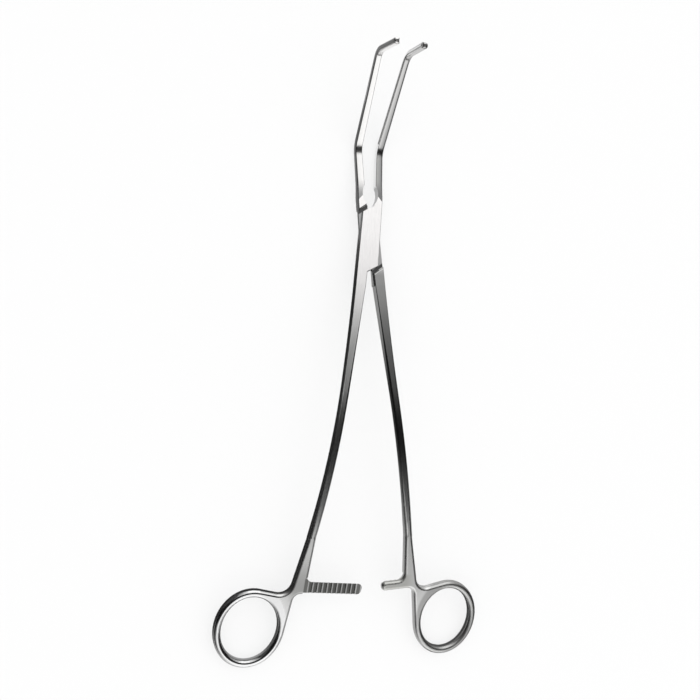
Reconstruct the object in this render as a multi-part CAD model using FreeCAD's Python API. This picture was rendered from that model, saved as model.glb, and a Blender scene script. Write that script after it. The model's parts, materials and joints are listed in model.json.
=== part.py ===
import FreeCAD, Part
import math
import os

# Vascular clamp: two forged steel halves that cross in a box lock and turn on one pin.
# Working frame: pin on Z, jaws towards +Y, front face towards +Z, jaws shut. Each half
# has its jaw on one side of the middle plane x = 0 and its shank and ring on the other.
# At the end the clamp is opened and laid on its rings and knees. Millimetres, degrees.

restOpening = 8.1

# Box lock
lockThickness = 3.8
lockHalfWidth = 4.2
plateEndDistance = 14.0
plateEndSlope = 33.0
shoulderGap = 0.75
shoulderBevel = 0.65
lockEdgeRound = 0.25
lockCornerRound = 0.6
dividingGap = 0.2
tongueThickness = 1.6
slideClearance = 0.05
turningRadius = 7.4
turningClearance = 0.2
pinRadius = 1.6
pinClearance = 0.05

# Relief scooped between the jaws just beyond the lock
reliefFoot = 0.45
reliefStart = 14.7
reliefEnd = 23.4
reliefDepth = 2.1
flatFaceEnd = 18.0

# Jaws: heel, knee, middle stretch, elbow and tip
heelStart = 24.0
heelGap = 0.85
heelWidth = 3.2
heelDepth = 3.0
heelLean = 2.6
kneeDistance = 39.8
kneeGap = 0.65
kneeWidth = 3.05
kneeDepth = 2.6
kneeTurn = 45.6
kneeRadius = 8.0
middleLength = 42.0
elbowGap = 0.2
elbowWidth = 2.45
elbowDepth = 2.25
elbowTurn = 61.2
elbowRadius = 6.0
tipLength = 17.9
tipGap = 0.05
tipWidth = 2.5
tipDepth = 2.45
jawInnerRound = 0.25
ridgedJawRound = 1.0
groovedJawRound = 0.65
tipOuterRound = 1.15
tipRound = 0.9
grooveWidth = 1.0
grooveDepth = 0.7
ridgeWidth = 0.6
ridgeHeight = 0.3

# Shanks
shankRoot = 20.0
shankRootWidth = 4.4
straightRun = 0.6
shankWidth = 3.5
shankDepth = 2.75
shankEdgeRound = 1.0
shankOffset = 1.8
shankSplay = 2.82
shankBowRadius = 1754.0
widthFade = 48.0
depthFade = 54.0
handleBendStart = 65.0
handleBendRadius = 166.0
handleBend = 18.0
thickeningStart = 13.0
shankSteps = 14

# Finger rings, webs and ratchet arms, laid out in the plane of the handle end
plateStart = 8.0
plateThickness = 3.7
plateEdgeRound = 1.35
ringOffset = 32.0
ringDistance = 47.3
ringHalfWidth = 13.05
ringHalfLength = 15.05
wireWidth = 3.1
webOuterOffset = 18.1
webOuterDistance = 32.8
webOuterRound = 5.0
webInnerOffset = 15.8
webInnerRound = 3.2
armRootOffset = 11.3
armRootRound = 2.8
armTop = 27.3
armEndRound = 1.7
armEndSlant = 0.7
barHeight = 4.5
barReach = 13.6
stubHeight = 4.0
stubEnd = 1.0
recessStart = 12.6
recessTop = 24.6

# Ratchet teeth: the bar's face is toothed in front, the stub's behind
firstTooth = 10.3
toothPitch = 2.08
toothHeight = 0.4
toothLand = 0.3
barTeeth = 10
stubTeeth = 4
ratchetPlane = -0.35
ratchetClearance = 0.35

full = 2 * (kneeDistance + middleLength + tipLength)


def vec(x, y, z=0.0):
    return FreeCAD.Vector(x, y, z)


def sine(degrees):
    return math.sin(math.radians(degrees))


def cosine(degrees):
    return math.cos(math.radians(degrees))


def tangent(degrees):
    return math.tan(math.radians(degrees))


def mirrored(shape):
    return shape.mirror(vec(0, 0), vec(1, 0))


def prism(edges, bottom, top):
    face = Part.Face(Part.Wire(edges))
    face.translate(vec(0, 0, bottom))
    return face.extrude(vec(0, 0, top - bottom))


def polygonPrism(points, bottom, top):
    return prism([Part.makeLine(vec(*a), vec(*b)) for a, b in zip(points, points[1:] + points[:1])],
                 bottom, top)


def cornerArc(before, corner, after, radius):
    # Start, middle and end of the arc that rounds a corner
    back = (before - corner).normalize()
    ahead = (after - corner).normalize()
    half = back.getAngle(ahead) / 2
    bisector = (back + ahead).normalize()
    reach = radius / math.tan(half)
    middle = corner + bisector * (radius / math.sin(half) - radius)
    return corner + back * reach, middle, corner + ahead * reach


def roundedPath(corners):
    # Lines through (point, radius) corners; a radius of 0 leaves a corner sharp
    edges = []
    at = corners[0][0]
    for i in range(1, len(corners) - 1):
        corner, radius = corners[i]
        end = corner
        if radius > 0:
            start, middle, end = cornerArc(at, corner, corners[i + 1][0], radius)
            edges.append(Part.makeLine(at, start))
            edges.append(Part.Arc(start, middle, end).toShape())
        else:
            edges.append(Part.makeLine(at, corner))
        at = end
    edges.append(Part.makeLine(at, corners[-1][0]))
    return edges


def edgesAtHeight(solid, height):
    # Edges that lie wholly in one of the planes z = height and z = -height
    return [edge for edge in solid.Edges
            if edge.BoundBox.ZLength < 1e-4 and abs(abs(edge.BoundBox.ZMin) - height) < 1e-4]


def fused(shapes):
    joined = shapes[0].fuse(shapes[1:]).removeSplitter()
    return joined.Solids[0]


# Plan of the handles and side view of their backward bend

def shankCentre(s):
    return shankOffset + s * tangent(shankSplay) + s * s / (2 * shankBowRadius)


def widthAt(s):
    left = max(1 - (s - shankRoot) / widthFade, 0)
    return shankWidth + (shankRootWidth - shankWidth) * left ** 3


def settled(root, far, s):
    # Leaves the root's value smoothly and reaches the far one where the fade ends
    left = max(1 - ((s - shankRoot) / depthFade) ** 2, 0)
    return far + (root - far) * left ** 2


def bendEnd():
    return handleBendStart + handleBendRadius * math.radians(handleBend)


def handlePoint(s):
    # y, z and slope of the handle's centre at a distance s from the pin along it
    bent = min(max(s - handleBendStart, 0), bendEnd() - handleBendStart) / handleBendRadius
    straight = min(s, handleBendStart)
    beyond = max(s - bendEnd(), 0)
    y = -straight - handleBendRadius * math.sin(bent) - beyond * math.cos(bent)
    z = -handleBendRadius * (1 - math.cos(bent)) - beyond * math.sin(bent)
    return y, z, math.degrees(bent)


def section(inner, outer, depth, innerRound, outerRound, y, z, rise):
    # Rounded rectangle between two distances from the middle plane, square to a path
    # that lies in a plane of constant x and rises at the given angle from +Y
    half = depth / 2
    kappa = 1 - math.sqrt(0.5)

    def place(x, n):
        return vec(x, y - n * sine(rise), z + n * cosine(rise))

    rounds = ((inner, 1, -half, 1, innerRound), (outer, -1, -half, 1, outerRound),
              (outer, -1, half, -1, outerRound), (inner, 1, half, -1, innerRound))
    alongX = [place(x + sx * r, n) for x, sx, n, sn, r in rounds]
    alongN = [place(x, n + sn * r) for x, sx, n, sn, r in rounds]
    bulges = [place(x + sx * r * kappa, n + sn * r * kappa) for x, sx, n, sn, r in rounds]
    return Part.Wire([
        Part.makeLine(alongX[0], alongX[1]), Part.Arc(alongX[1], bulges[1], alongN[1]).toShape(),
        Part.makeLine(alongN[1], alongN[2]), Part.Arc(alongN[2], bulges[2], alongX[2]).toShape(),
        Part.makeLine(alongX[2], alongX[3]), Part.Arc(alongX[3], bulges[3], alongN[3]).toShape(),
        Part.makeLine(alongN[3], alongN[0]), Part.Arc(alongN[0], bulges[0], alongX[0]).toShape()])


# Box lock. The plates' ends slope, and lie the same distance from the pin at both
# ends, so that the tongue half's shoulders swing away from them as the clamp opens.

def endLine(x, end, gap=0.0):
    return end * (plateEndDistance + gap / cosine(plateEndSlope)) + x * tangent(plateEndSlope)


def shankSide(y):
    # Outer side of a half at y on its shank's side, flaring from the lock to the shank
    top = endLine(-lockHalfWidth, 1)
    flare = shankCentre(shankRoot) + shankRootWidth / 2 - lockHalfWidth
    return lockHalfWidth + flare * (top - y) / (top + shankRoot - straightRun)


def shankOuterFoot():
    return shankSide(straightRun - shankRoot)


def shoulderFoot():
    # Where the tongue half's lower shoulder meets its flared outer side
    rate = shankSide(0) - shankSide(1)
    x = (shankSide(0) - rate * endLine(0, -1, shoulderGap)) / (1 + rate * tangent(plateEndSlope))
    return x, endLine(x, -1, shoulderGap)


def shankInnerFoot():
    return shankCentre(shankRoot) - shankRootWidth / 2


def shankFoot():
    # Corners of the straight run that meets the shank, on the side x > 0
    return [vec(shankInnerFoot(), straightRun - shankRoot), vec(shankInnerFoot(), -shankRoot),
            vec(shankOuterFoot(), -shankRoot), vec(shankOuterFoot(), straightRun - shankRoot)]


def lockBlock(edges):
    return prism(edges, -lockThickness / 2, lockThickness / 2)


def isAcross(edge):
    return edge.BoundBox.YLength < 1e-4


def isShoulder(edge):
    along = edge.lastVertex().Point - edge.firstVertex().Point
    return abs(math.degrees(math.atan2(along.y, along.x)) % 180 - plateEndSlope) < 1


def roundFaces(block, isSharp):
    # Breaks the edges of the front and back faces, apart from those that stay sharp
    chosen = [edge for edge in edgesAtHeight(block, lockThickness / 2)
              if not isAcross(edge) and not isSharp(edge)]
    return block.makeFillet(lockEdgeRound, chosen)


def jawRoot(outerRound):
    # From the lock's full thickness down to the heel
    near = section(reliefFoot, lockHalfWidth, lockThickness, lockEdgeRound, lockEdgeRound,
                   flatFaceEnd, 0, 0)
    far = jawOutline(jawStations(outerRound)[0][0])
    return Part.makeLoft([near, far], True, True)


def relief():
    # Scooped from the inner side of the jaw's root
    middle = (reliefStart + reliefEnd) / 2
    foot = vec(reliefFoot, reliefStart)
    top = vec(heelGap, reliefEnd)
    arc = Part.Arc(top, vec(reliefDepth, middle), foot).toShape()
    beyond = [foot, vec(-full, reliefStart), vec(-full, reliefEnd), top]
    return prism([arc] + [Part.makeLine(p, q) for p, q in zip(beyond, beyond[1:])], -full, full)


def keptCorner(radius, gap):
    # A quarter of the lock's middle layer, outside the tongue's turning circle
    quarter = polygonPrism([(gap, 0), (full, 0), (full, full), (gap, full)], -lockThickness, lockThickness)
    return quarter.cut(Part.makeCylinder(radius, 2 * lockThickness, vec(0, 0, -lockThickness)))


def halfTurned(shape):
    return shape.copy().rotated(vec(0, 0), vec(0, 0, 1), 180)


def boxLock():
    # Two plates joined at opposite corners, jaw at +X and shank at -X
    foot = [(vec(-p.x, p.y), 0) for p in reversed(shankFoot())]
    block = lockBlock(roundedPath([
        (vec(reliefFoot, flatFaceEnd), 0), (vec(reliefFoot, endLine(reliefFoot, 1)), 0),
        (vec(-lockHalfWidth, endLine(-lockHalfWidth, 1)), 0), *foot,
        (vec(-reliefFoot, endLine(-reliefFoot, -1)), lockCornerRound),
        (vec(lockHalfWidth, endLine(lockHalfWidth, -1)), 0), (vec(lockHalfWidth, flatFaceEnd), 0),
        (vec(reliefFoot, flatFaceEnd), 0)]))
    block = roundFaces(block, lambda edge: False)
    slot = tongueThickness / 2 + slideClearance
    mouth = polygonPrism([(-full, -shankRoot), (full, -shankRoot), (full, flatFaceEnd), (-full, flatFaceEnd)],
                         -slot, slot)
    kept = keptCorner(turningRadius + turningClearance, dividingGap)
    mouth = mouth.cut(kept).cut(halfTurned(kept))
    hole = Part.makeCylinder(pinRadius, lockThickness, vec(0, 0, -lockThickness / 2))
    return fused([block.cut(mouth).cut(hole), jawRoot(ridgedJawRound)]).cut(relief()).Solids[0]


def bevelled(block):
    # Bevels the front and back edges along the sloping shoulder
    return block.makeChamfer(shoulderBevel, [edge for edge in edgesAtHeight(block, lockThickness / 2)
                                             if isShoulder(edge)])


def shouldered(edges):
    return roundFaces(bevelled(lockBlock(edges)), isShoulder)


def tongueLock():
    # Thick head with the jaw's root, thin tongue through the slot, thick shank root
    head = shouldered(roundedPath([
        (vec(-reliefFoot, flatFaceEnd), 0), (vec(-reliefFoot, endLine(-reliefFoot, 1, shoulderGap)), 0),
        (vec(-lockHalfWidth, endLine(-lockHalfWidth, 1, shoulderGap)), 0),
        (vec(-lockHalfWidth, flatFaceEnd), 0), (vec(-reliefFoot, flatFaceEnd), 0)]))
    shoulder = [vec(*shoulderFoot()), vec(reliefFoot, endLine(reliefFoot, -1, shoulderGap))]
    root = shouldered(roundedPath([(p, 0) for p in shankFoot() + shoulder + shankFoot()[:1]]))
    tongue = polygonPrism([
        (-lockHalfWidth, -shankRoot), *[(p.x, p.y) for p in shankFoot()[2:]],
        (lockHalfWidth, endLine(-lockHalfWidth, 1)), (lockHalfWidth, reliefStart),
        (-lockHalfWidth, reliefStart)], -tongueThickness / 2, tongueThickness / 2)
    cleared = keptCorner(turningRadius, 0)
    tongue = tongue.cut(cleared).cut(halfTurned(cleared))
    solid = fused([head, root, tongue, mirrored(jawRoot(groovedJawRound))]).cut(mirrored(relief()))
    hole = Part.makeCylinder(pinRadius + pinClearance, lockThickness, vec(0, 0, -lockThickness / 2))
    return solid.Solids[0].cut(hole)


# Jaws, each a heel, a knee bend, a straight middle, an elbow bend and a tip

def jawStations(outerRound):
    # y, z, rise, gap, width, depth and outer rounding at the ends of the three straight stretches
    kneeReach = kneeRadius * tangent(kneeTurn / 2)
    elbowReach = elbowRadius * tangent(elbowTurn / 2)
    stations = []
    y, z, rise = heelStart, 0.0, -heelLean
    heel = (heelGap, heelWidth, heelDepth, outerRound)
    knee = (kneeGap, kneeWidth, kneeDepth, outerRound)
    elbow = (elbowGap, elbowWidth, elbowDepth, outerRound)
    tip = (tipGap, tipWidth, tipDepth, tipOuterRound)
    runs = ((kneeDistance - heelStart, 0, kneeReach, heel, knee, kneeTurn),
            (middleLength, kneeReach, elbowReach, knee, elbow, elbowTurn),
            (tipLength, elbowReach, tipRound, elbow, tip, 0))
    for length, lead, trail, near, far, turn in runs:
        start = (y + lead * cosine(rise), z + lead * sine(rise), rise) + near
        reach = length - trail
        end = (y + reach * cosine(rise), z + reach * sine(rise), rise) + far
        stations.append((start, end))
        y += length * cosine(rise)
        z += length * sine(rise)
        rise += turn
    return stations


def bentBar(outlineAt, outerRound, runs=3):
    # Solid of the stretches and bends of the jaw's path; outlineAt gives each section
    stations = jawStations(outerRound)[-runs:]
    pieces = [Part.makeLoft([outlineAt(start), outlineAt(end)], True, True) for start, end in stations]
    bends = ((kneeRadius, kneeTurn), (elbowRadius, elbowTurn))[-(runs - 1):]
    for (start, end), (radius, turn) in zip(stations, bends):
        y, z, rise = end[:3]
        centre = vec(0, y - radius * sine(rise), z + radius * cosine(rise))
        pieces.append(Part.Face(outlineAt(end)).revolve(centre, vec(1, 0), turn))
    return pieces


def jawOutline(station, inset=0.0):
    y, z, rise, gap, width, depth, outerRound = station
    return section(gap + inset, gap + width - inset, depth - 2 * inset, jawInnerRound, outerRound - inset,
                   y, z, rise)


def railOutline(station, below, above, width):
    y, z, rise, gap = station[:4]
    half = width / 2
    corners = [(gap - below, -half), (gap + above, -half), (gap + above, half), (gap - below, half)]
    loop = [vec(x, y - n * sine(rise), z + n * cosine(rise)) for x, n in corners]
    return Part.makePolygon(loop + loop[:1])


def jaw(outerRound):
    # The stretches and bends, and a blunt end that rounds over in a few steps
    y, z, rise, *size = jawStations(outerRound)[2][1]
    sections = []
    for angle in (0, 20, 40, 60, 80):
        ahead = tipRound * sine(angle)
        station = (y + ahead * cosine(rise), z + ahead * sine(rise), rise, *size)
        sections.append(jawOutline(station, tipRound * (1 - cosine(angle))))
    return bentBar(jawOutline, outerRound) + [Part.makeLoft(sections, True, True)]


def ridgedJaw():
    ridge = bentBar(lambda at: railOutline(at, ridgeHeight, ridgeHeight, ridgeWidth), ridgedJawRound, 2)
    return jaw(ridgedJawRound) + ridge


def groovedJaw():
    groove = bentBar(lambda at: railOutline(at, ridgeHeight, grooveDepth, grooveWidth), groovedJawRound, 2)
    return jaw(groovedJawRound), groove


# Handles

def thickening(s):
    # Share of the way from the shank's thickness to the handle end's
    start = bendEnd() - thickeningStart
    share = min(max((s - start) / (bendEnd() + plateStart - start), 0), 1)
    return share * share * (3 - 2 * share)


def shank():
    # Ring side taken at +X
    sections = []
    for i in range(shankSteps + 1):
        s = shankRoot + (bendEnd() + plateStart - shankRoot) * i / shankSteps
        grown = thickening(s)
        depth = settled(lockThickness, shankDepth, s) + (plateThickness - shankDepth) * grown
        rounding = settled(lockEdgeRound, shankEdgeRound, s) + (plateEdgeRound - shankEdgeRound) * grown
        inner = shankCentre(s) - widthAt(s) / 2
        sections.append(section(inner, inner + widthAt(s), depth, rounding, rounding, *handlePoint(s)))
    return Part.makeLoft(sections, True, False)


def touchingLine(x, y, side):
    # Parameter on the ring's outer ellipse where the line from (x, y) touches it
    u = (x - ringOffset) / (ringHalfWidth + wireWidth / 2)
    v = (y + ringDistance) / (ringHalfLength + wireWidth / 2)
    return math.atan2(v, u) + side * math.acos(1 / math.hypot(u, v))


def ringEllipse(offset):
    # The ellipse, and the angle from +X at which it starts
    centre = vec(ringOffset, -ringDistance)
    along = ringHalfLength + offset
    across = ringHalfWidth + offset
    if along >= across:
        return Part.Ellipse(centre + vec(0, along), centre - vec(across, 0), centre), math.pi / 2
    return Part.Ellipse(centre - vec(across, 0), centre - vec(0, along), centre), math.pi


def onRing(angle):
    return vec(ringOffset + (ringHalfWidth + wireWidth / 2) * math.cos(angle),
               -ringDistance + (ringHalfLength + wireWidth / 2) * math.sin(angle))


def handleEnd(armEnd, armHeight):
    # Ring, web and ratchet arm as one plate in its own plane, before the arm is thinned
    s = bendEnd() + plateStart
    inner = vec(shankCentre(s) - shankWidth / 2, -plateStart)
    outer = vec(shankCentre(s) + shankWidth / 2, -plateStart)
    run = vec(0, -straightRun)
    upper = touchingLine(webOuterOffset, -webOuterDistance, -1)
    lower = touchingLine(webInnerOffset, -armTop - armHeight, 1)
    arm = roundedPath([
        (inner, 0), (inner + run, 0), (vec(armRootOffset, -armTop), armRootRound),
        (vec(armEnd, -armTop), armEndRound),
        (vec(armEnd + armEndSlant, -armTop - armHeight), armEndRound),
        (vec(webInnerOffset, -armTop - armHeight), webInnerRound), (onRing(lower), 0)])
    web = roundedPath([
        (onRing(upper), 0), (vec(webOuterOffset, -webOuterDistance), webOuterRound), (outer + run, 0),
        (outer, 0)])
    outside, start = ringEllipse(wireWidth / 2)
    ring = Part.Arc(outside, lower - start, upper + 2 * math.pi - start).toShape()
    plate = prism(arm + [ring] + web + [Part.makeLine(outer, inner)], -plateThickness / 2, plateThickness / 2)
    hole = prism([ringEllipse(-wireWidth / 2)[0].toShape()], -plateThickness, plateThickness)
    plate = plate.cut(hole)
    top = [edge for edge in edgesAtHeight(plate, plateThickness / 2)
           if max(v.Point.y for v in edge.Vertexes) - min(v.Point.y for v in edge.Vertexes) > 1e-6
           or abs(edge.Vertexes[0].Point.y + plateStart) > 1e-6]
    return plate.makeFillet(plateEdgeRound, top)


def teeth(first, count, plane, side):
    # Sloping grooves cut into a face at z = plane; side 1 cuts downwards, -1 upwards
    cuts = []
    for i in range(count):
        x = first + i * toothPitch
        points = [(x, plane), (x + toothPitch - toothLand, plane), (x, plane - side * toothHeight)]
        loop = [vec(px, full, pz) for px, pz in points + points[:1]]
        cuts.append(Part.Face(Part.makePolygon(loop)).extrude(vec(0, -2 * full)))
    return cuts


def armLayer(root, bottom, top):
    # The ratchet arm as far as its root, between two heights
    return polygonPrism([(-full, -full), (root, -full), (root, -recessTop), (-full, -recessTop)], bottom, top)


def boxHandleEnd():
    plate = handleEnd(-barReach, barHeight)
    plate = plate.cut(armLayer(recessStart, ratchetPlane, plateThickness))
    return plate.cut(teeth(firstTooth - barTeeth * toothPitch, barTeeth, ratchetPlane, 1))


def tongueHandleEnd():
    plate = handleEnd(stubEnd, stubHeight)
    plane = ratchetPlane + ratchetClearance
    plate = plate.cut(armLayer(barReach + ratchetClearance, -plateThickness, plane))
    return plate.cut(teeth(firstTooth - stubTeeth * toothPitch, stubTeeth, plane, -1))


def laidInPlane(plate):
    y, z, slope = handlePoint(bendEnd())
    plate.rotate(vec(0, 0), vec(1, 0), slope)
    plate.translate(vec(0, y, z))
    return plate


# The two halves and the pin

def boxHalf():
    handle = [mirrored(shank()), mirrored(laidInPlane(boxHandleEnd()))]
    return fused([boxLock()] + handle + ridgedJaw())


def tongueHalf():
    body, groove = groovedJaw()
    handle = [shank(), laidInPlane(tongueHandleEnd())]
    half = fused([tongueLock()] + handle + [mirrored(piece) for piece in body])
    return half.cut([mirrored(piece) for piece in groove]).Solids[0]


def jointPin():
    return Part.makeCylinder(pinRadius, lockThickness, vec(0, 0, -lockThickness / 2))


# Laying the opened clamp down on its rings and its knees

def lowest(points, tilt):
    return min(p.y * sine(tilt) + p.z * cosine(tilt) for p in points)


def restingPlace(shapes):
    points = [p for shape in shapes for p in shape.tessellate(0.02)[0]]
    jaws = [p for p in points if p.y > 0]
    handles = [p for p in points if p.y < 0]
    low, high = -45.0, 45.0
    for step in range(40):
        tilt = (low + high) / 2
        if lowest(jaws, tilt) > lowest(handles, tilt):
            high = tilt
        else:
            low = tilt
    place = FreeCAD.Placement(vec(0, 0), FreeCAD.Rotation(vec(1, 0), tilt))
    laid = [place.multVec(p) for p in points]
    middle = [(min(values) + max(values)) / 2 for values in ([p.x for p in laid], [p.y for p in laid])]
    place.Base = vec(-middle[0], -middle[1], -min(p.z for p in laid))
    return place


def opened(shape, degrees):
    return shape.rotated(vec(0, 0), vec(0, 0, 1), degrees)


def main():
    nodes = {
        "box_half": opened(boxHalf(), -restOpening / 2),
        "tongue_half": opened(tongueHalf(), restOpening / 2),
        "joint_pin": jointPin(),
    }
    place = restingPlace(nodes.values())
    os.makedirs("parts", exist_ok=True)
    for name, shape in nodes.items():
        shape.transformShape(place.toMatrix())
        shape.exportStep(f"parts/{name}.step")
        box = shape.BoundBox
        print(name, shape.isValid(), len(shape.Solids), round(shape.Volume, 1),
              [round(v, 2) for v in (box.XMin, box.YMin, box.ZMin, box.XMax, box.YMax, box.ZMax)])
    axis = place.Rotation.multVec(vec(0, 0, 1))
    print("pin at", [round(v, 3) for v in place.Base], "axis", [round(v, 5) for v in axis])


main()
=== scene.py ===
import json
import math

import bmesh
import bpy
from mathutils import Matrix, Vector


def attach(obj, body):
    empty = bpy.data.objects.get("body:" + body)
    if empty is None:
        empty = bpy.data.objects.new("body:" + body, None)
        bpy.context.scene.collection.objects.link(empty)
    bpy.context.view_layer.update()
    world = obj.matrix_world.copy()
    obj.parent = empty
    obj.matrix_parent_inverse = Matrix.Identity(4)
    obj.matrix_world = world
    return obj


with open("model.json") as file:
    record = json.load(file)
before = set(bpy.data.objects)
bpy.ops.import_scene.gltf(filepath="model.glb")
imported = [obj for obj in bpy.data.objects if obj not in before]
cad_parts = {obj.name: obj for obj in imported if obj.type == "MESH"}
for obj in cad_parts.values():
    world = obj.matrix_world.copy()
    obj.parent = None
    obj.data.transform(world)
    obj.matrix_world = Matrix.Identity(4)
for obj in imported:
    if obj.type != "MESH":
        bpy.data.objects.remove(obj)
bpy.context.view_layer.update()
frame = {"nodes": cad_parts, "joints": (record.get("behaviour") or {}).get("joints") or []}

# The clamp's own directions as it lies on the table: the pin's axis leans a little
hinge = frame["joints"][0]
pinPlace = Vector(hinge["pos_m"])
frontward = Vector(hinge["axis"]).normalized()
jawward = Vector((0, frontward.z, -frontward.y))
sideward = Vector((1, 0, 0))


class Value:
    # A shader socket that takes part in plain expressions
    def __init__(self, bench, socket):
        self.bench = bench
        self.socket = socket

    def __add__(self, other):
        return self.bench.maths("ADD", self, other)

    def __radd__(self, other):
        return self.bench.maths("ADD", other, self)

    def __sub__(self, other):
        return self.bench.maths("SUBTRACT", self, other)

    def __rsub__(self, other):
        return self.bench.maths("SUBTRACT", other, self)

    def __mul__(self, other):
        return self.bench.maths("MULTIPLY", self, other)

    def __rmul__(self, other):
        return self.bench.maths("MULTIPLY", other, self)

    def __truediv__(self, other):
        return self.bench.maths("DIVIDE", self, other)

    def __rtruediv__(self, other):
        return self.bench.maths("DIVIDE", other, self)

    def __pow__(self, other):
        return self.bench.maths("POWER", self, other)

    def __abs__(self):
        return self.bench.maths("ABSOLUTE", self)


class Bench:
    # Adds nodes to one material or world
    def __init__(self, tree):
        self.tree = tree
        tree.nodes.clear()

    def node(self, kind, settings=None, inputs=None):
        made = self.tree.nodes.new(kind)
        for name, value in (settings or {}).items():
            if name == "stops":
                self.setStops(made.color_ramp, value)
            else:
                setattr(made, name, value)
        for name, value in (inputs or {}).items():
            if isinstance(value, Value):
                self.tree.links.new(value.socket, made.inputs[name])
            else:
                made.inputs[name].default_value = value
        return made

    def setStops(self, ramp, stops):
        for i, (place, colour) in enumerate(stops):
            stop = ramp.elements[i] if i < 2 else ramp.elements.new(place)
            stop.position = place
            stop.color = colour

    def value(self, kind, output, settings=None, inputs=None):
        return Value(self, self.node(kind, settings, inputs).outputs[output])

    def maths(self, operation, *terms):
        return self.value("ShaderNodeMath", 0, {"operation": operation}, dict(enumerate(terms)))

    def along(self, point, direction):
        # How far a point lies along a direction
        return self.value("ShaderNodeVectorMath", "Value", {"operation": "DOT_PRODUCT"},
                          {0: point, 1: tuple(direction)})

    def smooth(self, value, start, end):
        # 0 on the start's side, 1 on the end's
        return self.value("ShaderNodeMapRange", "Result", {"interpolation_type": "SMOOTHSTEP"},
                          {"Value": value, "From Min": start, "From Max": end})

    def blend(self, share, first, second):
        return self.value("ShaderNodeMix", 2, {"data_type": "RGBA"}, {0: share, 6: first, 7: second})

    def noise(self, place, scale, detail=3.0, roughness=0.55):
        return self.value("ShaderNodeTexNoise", "Fac", None,
                          {"Vector": place, "Scale": scale, "Detail": detail, "Roughness": roughness})


def newMaterial(name):
    material = bpy.data.materials.new(name)
    material.use_nodes = True
    return material, Bench(material.node_tree)


def dress(node, material):
    slots = frame["nodes"][node].material_slots
    for slot in slots:
        slot.material = material
    if not slots:
        frame["nodes"][node].data.materials.append(material)


# Steel: one finish for each part of the clamp, blended from the place on it, with painted light and shade
# laid over them

steel = {
    "lock": {"colour": (0.90, 0.885, 0.88), "roughness": 0.22},
    "jaw": {"colour": (0.93, 0.92, 0.91), "roughness": 0.20},
    "shank": {"colour": (0.80, 0.80, 0.79), "roughness": 0.16},
    "handle": {"colour": (0.78, 0.78, 0.77), "roughness": 0.24},
    # Painted shade at the jaws' heels
    "heel": {"colour": (0.38, 0.38, 0.37), "roughness": 0.22},
    # Painted shade across the jaws' flanks
    "flank": {"colour": (0.27, 0.27, 0.27), "roughness": 0.22},
    # Painted shade on the rounded edges on the right
    "edge": {"colour": (0.22, 0.22, 0.22), "roughness": 0.28},
    "web": {"colour": (0.54, 0.54, 0.53), "roughness": 0.34},
    # Painted sheen on the web, brighter towards the finger ring's hole
    "paintedSheen": {"colour": (0.86, 0.86, 0.85), "roughness": 0.30},
    "ring": {"colour": (0.84, 0.84, 0.84), "roughness": 0.12},
    "satinRing": {"colour": (0.62, 0.62, 0.61), "roughness": 0.32},
    # Painted shade on the ratchet arm, and painted highlights on its teeth's lands
    "ratchetShade": {"colour": (0.23, 0.23, 0.22), "roughness": 0.40},
    "rib": {"colour": (0.62, 0.62, 0.61), "roughness": 0.35},
    # Painted shade on the tongue's face inside the lock
    "tongue": {"colour": (0.44, 0.44, 0.44), "roughness": 0.30},
    # Painted shadow where the plates' ends overhang the tongue
    "recess": {"colour": (0.07, 0.07, 0.07), "roughness": 0.35},
    # Painted highlights on the shoulders' bevels
    "bevel": {"colour": (0.95, 0.95, 0.94), "roughness": 0.16},
    # Painted shade in the scooped relief between the jaws
    "scoop": {"colour": (0.42, 0.42, 0.42), "roughness": 0.30},
    # Painted shade at the jaws' roots, where they curve in
    "root": {"colour": (0.34, 0.34, 0.34), "roughness": 0.30},
    # Painted light and shade on the side walls
    "jawWallShading": {"colour": (0.86, 0.86, 0.86), "roughness": 0.25},
    "shankWallShading": {"colour": (0.80, 0.80, 0.79), "roughness": 0.25},
}

# Where each finish, painted shade and painted highlight lies, in metres from the pin: x outward on the side
# of the half's own shank, y towards the jaws. A pair is where one starts to show and where it is full.
places = {
    "jaw": (0.0207, 0.0212),        # of y - x, along the lock's sloping end
    "heel": (0.0385, 0.0365),
    "flank": (0.0008, 0.0030),
    "root": (0.0265, 0.0185),
    "handle": (-0.082, -0.104),
    "web": (-0.128, -0.144),
    "ringMiddle": (0.032, -0.1613),
    "ringHole": (0.0115, 0.0135),
    "paintedSheen": (3.4, 1.7),            # of the square of the distance, in ring holes
    "ring": (1.75, 1.45),
    "armTop": (-0.1405, -0.1410),
    "ribStart": 0.0103,
    "ribPitch": 0.00208,
    "ribMiddle": 0.14,
    "rib": (0.20, 0.08),
    "tongueFace": (0.0012, 0.0010),
    "tongueReach": (0.0157, 0.0155),
    "shoulderSlope": 0.649,
    "shoulder": 0.0144,
    "recess": (0.0013, 0.0008),
    "bevelMiddle": 0.0153,
    "bevel": (0.0006, 0.00045),
    "bevelFace": (0.0011, 0.0012),
    "scoopMiddle": 0.0190,
    "scoop": (0.0042, 0.0038),
    "inward": (0.0002, -0.0002),
    "shankSide": (0.005, -0.005),
    "upperShank": (-0.05, -0.03),
}

# How far a face has to turn for painted light and shade that go by its direction
turned = {
    "toFront": (0.6, 0.8),
    "fromFront": (0.6, 0.3),
    "outward": (0.55, 0.95),
    "edgeStart": (0.15, 0.45),
    "edgeEnd": (0.98, 0.9),
}

# Fine lines along the steel, and a faint unevenness all over it
brushing = {
    "across": 5000,
    "along": 220,
    "detail": 2.0,
    "shade": 0.16,
    "tone": (0.25, 0.25, 0.25, 1.0),
    "roughness": 0.07,
    "cloudScale": 900.0,
    "cloudRoughness": 0.05,
    "bump": 0.06,
    "depth": 0.00002,
}
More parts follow.
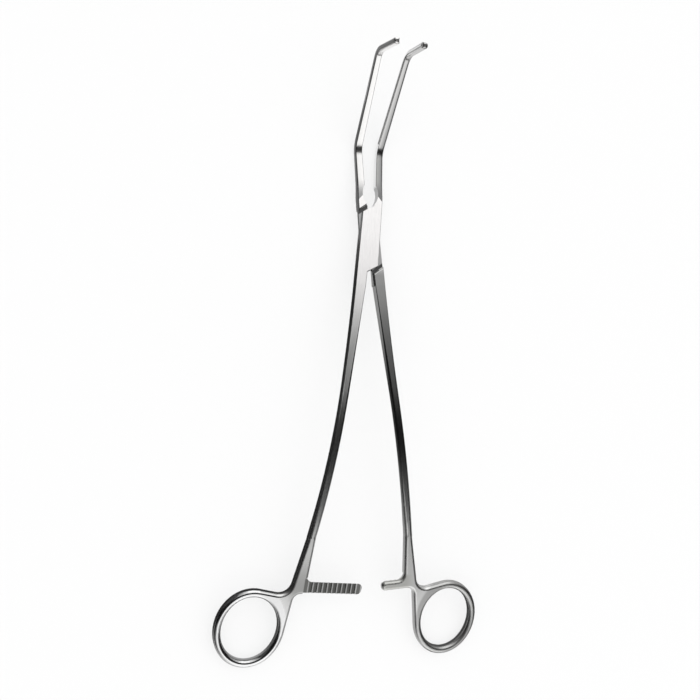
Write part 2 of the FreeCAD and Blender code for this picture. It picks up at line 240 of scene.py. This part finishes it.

# What differs between the halves; the box half's ratchet bar has its teeth in front. The tones are painted
# light and shade: lit and shaded copies of the steel, one set for each half
halves = {
    "box_half": {"side": -1, "opening": -4.05, "ribs": True, "flank": 1.0, "ring": "ring",
                 "arm": (0.0128, 0.0118), "shank": (-0.022, -0.052),
                 "litAndShadedTones": {"jaw": 0.62, "web": 0.9, "root": 0.55, "jawWallShading": 1.0, "shankWallShading": 0.45}},
    "tongue_half": {"side": 1, "opening": 4.05, "ribs": False, "flank": 0.12, "ring": "satinRing",
                    "arm": (0.0158, 0.0118), "shank": (-0.008, -0.016),
                    "litAndShadedTones": {"shank": 0.36, "web": 1.5, "paintedSheen": 1.08, "ratchetShade": 3.2, "jawWallShading": 0.5,
                              "shankWallShading": 0.6}},
    "joint_pin": {"side": 1, "opening": 0.0, "ribs": False, "flank": 0.0, "ring": "ring",
                  "arm": (0.0128, 0.0118), "shank": (-0.022, -0.052), "litAndShadedTones": {}},
}


class FinishAndShade:
    # Colour and roughness that finishes, painted shade and painted highlights are laid over one after
    # another
    def __init__(self, bench, kind, litAndShadedTones):
        self.bench = bench
        self.litAndShadedTones = litAndShadedTones
        self.colour = steel[kind]["colour"] + (1.0,)
        self.roughness = steel[kind]["roughness"]

    def lay(self, share, kind):
        tone = self.litAndShadedTones.get(kind, 1.0)
        colour = tuple(tone * part for part in steel[kind]["colour"]) + (1.0,)
        self.colour = self.bench.blend(share, self.colour, colour)
        self.roughness = self.roughness + share * (steel[kind]["roughness"] - self.roughness)


def makeSteel(name):
    material, bench = newMaterial(name + "_steel")
    half = halves[name]
    turn = Matrix.Rotation(math.radians(half["opening"]), 3, frontward)
    across = half["side"] * (turn @ sideward)
    along = turn @ jawward
    coordinates = bench.node("ShaderNodeTexCoord")
    place = Value(bench, coordinates.outputs["Object"])
    normal = Value(bench, coordinates.outputs["Normal"])
    fromPin = bench.value("ShaderNodeVectorMath", "Vector", {"operation": "SUBTRACT"},
                          {0: place, 1: tuple(pinPlace)})
    x = bench.along(fromPin, across)
    y = bench.along(fromPin, along)
    z = bench.along(fromPin, frontward)

    # Jaw, shank and handle
    finishAndShade = FinishAndShade(bench, "lock", half["litAndShadedTones"])
    onJaw = bench.smooth(y - x, *places["jaw"])
    # Painted shade: the box half's jaw is a darker copy of the steel
    finishAndShade.lay(onJaw, "jaw")
    # Painted shade: the jaw darker towards its heel
    finishAndShade.lay(onJaw * half["flank"] * bench.smooth(y, *places["heel"]), "heel")
    # Painted shade: the jaw darker away from its inner side
    finishAndShade.lay(onJaw * half["flank"] * bench.smooth(abs(x), *places["flank"]), "flank")
    # Painted shade: the jaw darker towards its root
    finishAndShade.lay(onJaw * bench.smooth(y, *places["root"]), "root")
    # Painted shade: the tongue half's shank is a darker copy of the steel, which the handle's finish ends
    finishAndShade.lay(bench.smooth(y, *half["shank"]), "shank")
    finishAndShade.lay(bench.smooth(y, *places["handle"]), "handle")

    # Web, finger ring and ratchet arm
    onWeb = bench.smooth(y, *places["web"])
    finishAndShade.lay(onWeb, "web")
    middleX, middleY = places["ringMiddle"]
    holeX, holeY = places["ringHole"]
    reach = ((x - middleX) / holeX) ** 2 + ((y - middleY) / holeY) ** 2
    # Painted sheen: the web lighter towards the ring's hole
    finishAndShade.lay(onWeb * bench.smooth(reach, *places["paintedSheen"]), "paintedSheen")
    finishAndShade.lay(bench.smooth(reach, *places["ring"]), half["ring"])
    onArm = bench.smooth(x, *half["arm"]) * bench.smooth(y, *places["armTop"])
    # Painted shade: the ratchet arm darker
    finishAndShade.lay(onArm, "ratchetShade")
    if half["ribs"]:
        # The teeth's lands get painted highlights
        within = bench.maths("FRACT", (places["ribStart"] - x) / places["ribPitch"])
        finishAndShade.lay(onArm * bench.smooth(abs(within - places["ribMiddle"]), *places["rib"]), "rib")

    turnedFront = abs(bench.along(normal, frontward))
    if name == "tongue_half":
        # The tongue is duller and carries painted shade, with a painted shadow where the plates' ends
        # overhang it
        shadedTongueFace = bench.smooth(turnedFront, *turned["toFront"]) * bench.smooth(abs(z), *places["tongueFace"])
        shadedTongueFace = shadedTongueFace * bench.smooth(abs(y), *places["tongueReach"])
        slope = abs(y - places["shoulderSlope"] * x)
        finishAndShade.lay(shadedTongueFace, "tongue")
        finishAndShade.lay(shadedTongueFace * bench.smooth(abs(slope - places["shoulder"]), *places["recess"]), "recess")
        # The shoulders' bevels are polished, with painted highlights along them
        onBevel = bench.smooth(abs(slope - places["bevelMiddle"]), *places["bevel"])
        finishAndShade.lay(onBevel * bench.smooth(abs(z), *places["bevelFace"]), "bevel")

    # Painted shade in the scooped relief between the jaws, and painted light and shade on the side walls
    inScoopShade = bench.smooth(abs(y - places["scoopMiddle"]), *places["scoop"])
    upright = bench.smooth(turnedFront, *turned["fromFront"])
    finishAndShade.lay(inScoopShade * upright * bench.smooth(x, *places["inward"]), "scoop")
    # Painted light and shade: the side walls get lit and shaded copies of the steel, one tone for each half
    wall = bench.smooth(abs(bench.along(normal, across)), *turned["outward"])
    onShank = bench.smooth(y, *places["shankSide"])
    finishAndShade.lay(wall * (1 - onShank) * (1 - inScoopShade), "jawWallShading")
    finishAndShade.lay(wall * onShank, "shankWallShading")

    # Painted shade: the rounded edges on the right are darker than the faces beside them
    rightward = bench.along(normal, sideward)
    onShadedEdge = bench.smooth(rightward, *turned["edgeStart"]) * bench.smooth(rightward, *turned["edgeEnd"])
    finishAndShade.lay(onShadedEdge * bench.smooth(y, *places["upperShank"]), "edge")

    streaks = bench.value("ShaderNodeCombineXYZ", "Vector", None, {
        0: x * brushing["across"], 1: y * brushing["along"], 2: z * brushing["across"]})
    brushed = bench.noise(streaks, 1.0, brushing["detail"])
    clouds = bench.noise(place, brushing["cloudScale"])
    colour = bench.blend(brushing["shade"] * brushed, finishAndShade.colour, brushing["tone"])
    roughness = finishAndShade.roughness + brushing["roughness"] * (brushed - 0.5)
    roughness = roughness + brushing["cloudRoughness"] * (clouds - 0.5)
    bump = bench.value("ShaderNodeBump", "Normal", None, {
        "Height": brushed, "Strength": brushing["bump"], "Distance": brushing["depth"]})
    shader = bench.value("ShaderNodeBsdfPrincipled", "BSDF", None, {
        "Base Color": colour, "Metallic": 1.0, "Roughness": roughness, "Normal": bump})
    bench.node("ShaderNodeOutputMaterial", None, {"Surface": shader})
    return material


for node in halves:
    dress(node, makeSteel(node))
print("steel done")


# Serrations: fine teeth across the jaws' mating faces, beside the ridge and the groove

serrations = {
    "pitch": 0.00055,
    "height": 0.00006,
    "base": 0.00004,
    "lean": 0.35,                   # half a tooth's width, in pitches
    "kneeRadius": 0.008,
    "kneeTurn": 45.6,
    "middleLength": 0.042,
    "elbowRadius": 0.006,
    "elbowTurn": 61.2,
    "tipLength": 0.0179,
    "tipRound": 0.0012,
    "heelEnd": 0.0398,
    "heelStart": 0.024,
    "heelLean": 2.6,
    "gaps": (0.00065, 0.0002, 0.00005),             # at the knee, the elbow and the tip
    "halfDepths": (0.00130, 0.001125, 0.001225),
    "edge": 0.0003,
    # Where the teeth start on both sides of the ridge and of the groove
    "inner": {"box_half": 0.00036, "tongue_half": 0.00056},
    "dark": (0.62, 0.62, 0.61, 1),
    "bright": (0.85, 0.85, 0.84, 1),
    "grain": 2500.0,
    "roughness": 0.22,
    "unevenness": 0.1,
}


def alongJaw():
    # Place, rise, gap and half depth at each tooth of a jaw, in the half's own y and z
    made = serrations
    rise = math.radians(-made["heelLean"])
    reach = made["heelEnd"] - made["heelStart"]
    y = made["heelStart"] + reach * math.cos(rise)
    z = reach * math.sin(rise)
    kneeReach = made["kneeRadius"] * math.tan(math.radians(made["kneeTurn"] / 2))
    elbowReach = made["elbowRadius"] * math.tan(math.radians(made["elbowTurn"] / 2))
    runs = ((made["kneeTurn"], made["middleLength"], kneeReach, elbowReach),
            (made["elbowTurn"], made["tipLength"], elbowReach, made["tipRound"]))
    teeth = []
    for i, (turn, length, lead, trail) in enumerate(runs):
        if teeth:
            # Round the elbow, on the arc from the middle stretch's last tooth
            count = int(made["elbowRadius"] * math.radians(turn) / made["pitch"])
            lastY, lastZ, lastRise, gap, halfDepth = teeth[-1]
            for step in range(1, count):
                bent = lastRise + math.radians(turn) * step / count
                teeth.append((lastY + made["elbowRadius"] * (math.sin(bent) - math.sin(lastRise)),
                              lastZ - made["elbowRadius"] * (math.cos(bent) - math.cos(lastRise)),
                              bent, gap, halfDepth))
        rise += math.radians(turn)
        toothed = length - lead - trail
        count = int(toothed / made["pitch"])
        gaps = made["gaps"][i:i + 2]
        halfDepths = made["halfDepths"][i:i + 2]
        for step in range(count + 1):
            share = step / count
            at = lead + toothed * share
            gap = gaps[0] + (gaps[1] - gaps[0]) * share
            halfDepth = halfDepths[0] + (halfDepths[1] - halfDepths[0]) * share
            teeth.append((y + at * math.cos(rise), z + at * math.sin(rise), rise, gap, halfDepth))
        y += length * math.cos(rise)
        z += length * math.sin(rise)
    return teeth


def makeSerrations(node):
    half = halves[node]
    turn = Matrix.Rotation(math.radians(half["opening"]), 3, frontward)
    across = -half["side"] * (turn @ sideward)
    forward = turn @ jawward
    inner = serrations["inner"][node]
    lean = serrations["lean"] * serrations["pitch"]
    loops = ((0, 1, 2), (5, 4, 3), (0, 3, 4, 1), (1, 4, 5, 2), (2, 5, 3, 0))
    corners = []
    faces = []
    for y, z, rise, gap, halfDepth in alongJaw():
        ahead = forward * math.cos(rise) + frontward * math.sin(rise)
        out = frontward * math.cos(rise) - forward * math.sin(rise)
        middle = pinPlace + forward * y + frontward * z + across * gap
        outer = halfDepth - serrations["edge"]
        for low, high in ((inner, outer), (-outer, -inner)):
            first = len(corners)
            for depth in (low, high):
                base = middle + out * depth + across * serrations["base"]
                corners.append(base - ahead * lean)
                corners.append(base + ahead * lean)
                corners.append(middle + out * depth - across * serrations["height"])
            faces.extend([tuple(first + corner for corner in loop) for loop in loops])
    mesh = bpy.data.meshes.new(node + "_serrations")
    mesh.from_pydata(corners, [], faces)
    tidied = bmesh.new()
    tidied.from_mesh(mesh)
    bmesh.ops.recalc_face_normals(tidied, faces=tidied.faces)
    tidied.to_mesh(mesh)
    tidied.free()
    piece = bpy.data.objects.new(node + "_serrations", mesh)
    bpy.context.scene.collection.objects.link(piece)
    mesh.materials.append(makeToothSteel(node + "_tooth_steel"))
    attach(piece, node)


def makeToothSteel(name):
    material, bench = newMaterial(name)
    place = Value(bench, bench.node("ShaderNodeTexCoord").outputs["Object"])
    grain = bench.noise(place, serrations["grain"])
    shader = bench.value("ShaderNodeBsdfPrincipled", "BSDF", None, {
        "Base Color": bench.blend(grain, serrations["dark"], serrations["bright"]), "Metallic": 1.0,
        "Roughness": serrations["roughness"] + serrations["unevenness"] * grain})
    bench.node("ShaderNodeOutputMaterial", None, {"Surface": shader})
    return material


for node in serrations["inner"]:
    makeSerrations(node)
print("serrations done")


# Studio: a white floor and surround, which the steel reflects as panels of light and shade

studio = {
    "floorSize": 8.0,
    "floorColour": (0.93, 0.93, 0.93, 1.0),
    "lift": 0.75,                   # the share of the white surround that shows through the floor
    "surround": 1.0,
    "glow": 1.3,
    # Brightness that the steel sees overhead, from the viewer's side to the far side
    "overhead": ((-1.0, 0.95), (-0.64, 0.95), (-0.54, 0.68), (-0.45, 0.12), (-0.36, 0.015), (0.04, 0.015),
                 (0.15, 0.05), (0.26, 0.26), (0.36, 0.95), (1.0, 1.0)),
    # The same from the left to the right
    "sideways": ((-1.0, 0.04), (-0.5, 0.04), (-0.05, 0.8), (0.1, 1.0), (0.44, 1.0), (0.60, 0.4), (1.0, 0.2)),
    # Painted light and shade that the steel sees in the floor, which glows with it for reflections only, by
    # distance along it, on the right and on the left
    "floorRange": (-0.3, 0.15),
    "rightward": ((-0.30, 0.75), (-0.085, 0.75), (-0.062, 0.35), (-0.045, 0.12), (-0.030, 0.05),
                  (-0.012, 0.06), (0.006, 0.35), (0.020, 0.52), (0.055, 0.55), (0.070, 0.95), (0.15, 0.95)),
    "leftward": ((-0.30, 0.8), (-0.125, 0.5), (-0.108, 0.05), (0.04, 0.04), (0.07, 0.12), (0.09, 0.22),
                 (0.15, 0.35)),
    "leftEdge": -0.0065,
    "leftLean": 0.0085,
    "leanAlong": (0.100, 0.116),
    "leftSoftness": 0.002,
    # A painted dark patch of it beside the right finger ring
    "patchAcross": (0.032, 0.038),
    "patchAlong": (-0.086, -0.092),
    "shadePatchTone": (0.10, 0.10, 0.10, 1.0),
}


def ramp(bench, value, stops, low, high):
    # Straight steps between (value, brightness) stops
    share = (value - low) / (high - low)
    greys = [((at - low) / (high - low), (tone, tone, tone, 1.0)) for at, tone in stops]
    return bench.value("ShaderNodeValToRGB", "Color", {"stops": greys}, {"Fac": share})


def makeSurround():
    world = bpy.data.worlds.new("surround")
    world.use_nodes = True
    bench = Bench(world.node_tree)
    path = bench.node("ShaderNodeLightPath")
    direction = Value(bench, bench.node("ShaderNodeTexCoord").outputs["Generated"])
    overhead = ramp(bench, bench.along(direction, (0, 1, 0)), studio["overhead"], -1, 1)
    sideways = ramp(bench, bench.along(direction, (1, 0, 0)), studio["sideways"], -1, 1)
    seen = studio["glow"] * overhead * sideways
    mirrored = Value(bench, path.outputs["Is Glossy Ray"])
    strength = studio["surround"] + mirrored * (seen - studio["surround"])
    surface = bench.value("ShaderNodeBackground", 0, None, {"Color": (1, 1, 1, 1), "Strength": strength})
    bench.node("ShaderNodeOutputWorld", None, {"Surface": surface})
    bpy.context.scene.world = world


def makeFloor():
    material, bench = newMaterial("pale_floor")
    path = bench.node("ShaderNodeLightPath")
    place = Value(bench, bench.node("ShaderNodeTexCoord").outputs["Object"])
    x = bench.along(place, (1, 0, 0))
    y = bench.along(place, (0, 1, 0))
    edge = studio["leftEdge"] - studio["leftLean"] * bench.smooth(y, *studio["leanAlong"])
    right = bench.smooth(x - edge, -studio["leftSoftness"], studio["leftSoftness"])
    tone = bench.blend(right, ramp(bench, y, studio["leftward"], *studio["floorRange"]),
                       ramp(bench, y, studio["rightward"], *studio["floorRange"]))
    byRing = bench.smooth(x, *studio["patchAcross"]) * bench.smooth(y, *studio["patchAlong"])
    tone = bench.blend(byRing, tone, studio["shadePatchTone"])
    shaded = bench.value("ShaderNodeBsdfDiffuse", 0, None, {"Color": studio["floorColour"]})
    clear = bench.value("ShaderNodeBsdfTransparent", 0)
    share = studio["lift"] * Value(bench, path.outputs["Is Camera Ray"])
    shown = bench.value("ShaderNodeMixShader", 0, None, {0: share, 1: shaded, 2: clear})
    # Painted light and shade, seen only in reflections
    reflected = bench.value("ShaderNodeEmission", 0, None, {"Color": tone})
    mirrored = Value(bench, path.outputs["Is Glossy Ray"])
    surface = bench.value("ShaderNodeMixShader", 0, None, {0: mirrored, 1: shown, 2: reflected})
    bench.node("ShaderNodeOutputMaterial", None, {"Surface": surface})
    half = studio["floorSize"] / 2
    corners = [(-half, -half, 0), (half, -half, 0), (half, half, 0), (-half, half, 0)]
    mesh = bpy.data.meshes.new("floor")
    mesh.from_pydata(corners, [], [(0, 1, 2, 3)])
    mesh.materials.append(material)
    floor = bpy.data.objects.new("floor", mesh)
    bpy.context.scene.collection.objects.link(floor)


lamps = {
    "far_softbox": {"size": (0.6, 0.5), "centre": (0.25, 0.5, 0.8), "power": 0.35},
    "near_softbox": {"size": (0.7, 0.4), "centre": (0.2, -0.7, 0.6), "power": 0.35},
}


def makeLamps():
    for name, lamp in lamps.items():
        light = bpy.data.lights.new(name, "AREA")
        light.shape = "RECTANGLE"
        light.size, light.size_y = lamp["size"]
        light.energy = lamp["power"]
        holder = bpy.data.objects.new(name, light)
        bpy.context.scene.collection.objects.link(holder)
        holder.location = lamp["centre"]
        holder.rotation_mode = "QUATERNION"
        holder.rotation_quaternion = (-Vector(lamp["centre"])).to_track_quat("-Z", "Y")
        holder.visible_glossy = False


# Camera, above the clamp's front and a little to its left

view = {
    "place": (-0.128579, -0.003863, 0.347262),
    "right": (0.93987, 0.045052, 0.33855),
    "up": (-0.050297, 0.998716, 0.006733),
    "lens": 44.7,
    "sensor": 36.0,
    "nearest": 0.01,
}


def makeCamera():
    data = bpy.data.cameras.new("camera")
    data.lens = view["lens"]
    data.sensor_width = view["sensor"]
    data.clip_start = view["nearest"]
    camera = bpy.data.objects.new("camera", data)
    bpy.context.scene.collection.objects.link(camera)
    right = Vector(view["right"]).normalized()
    back = right.cross(Vector(view["up"])).normalized()
    up = back.cross(right)
    turn = Matrix((right, up, back)).transposed().to_4x4()
    camera.matrix_world = Matrix.Translation(view["place"]) @ turn
    bpy.context.scene.camera = camera


makeSurround()
makeFloor()
makeLamps()
makeCamera()
bpy.context.scene.view_settings.view_transform = "Standard"
print("studio done")
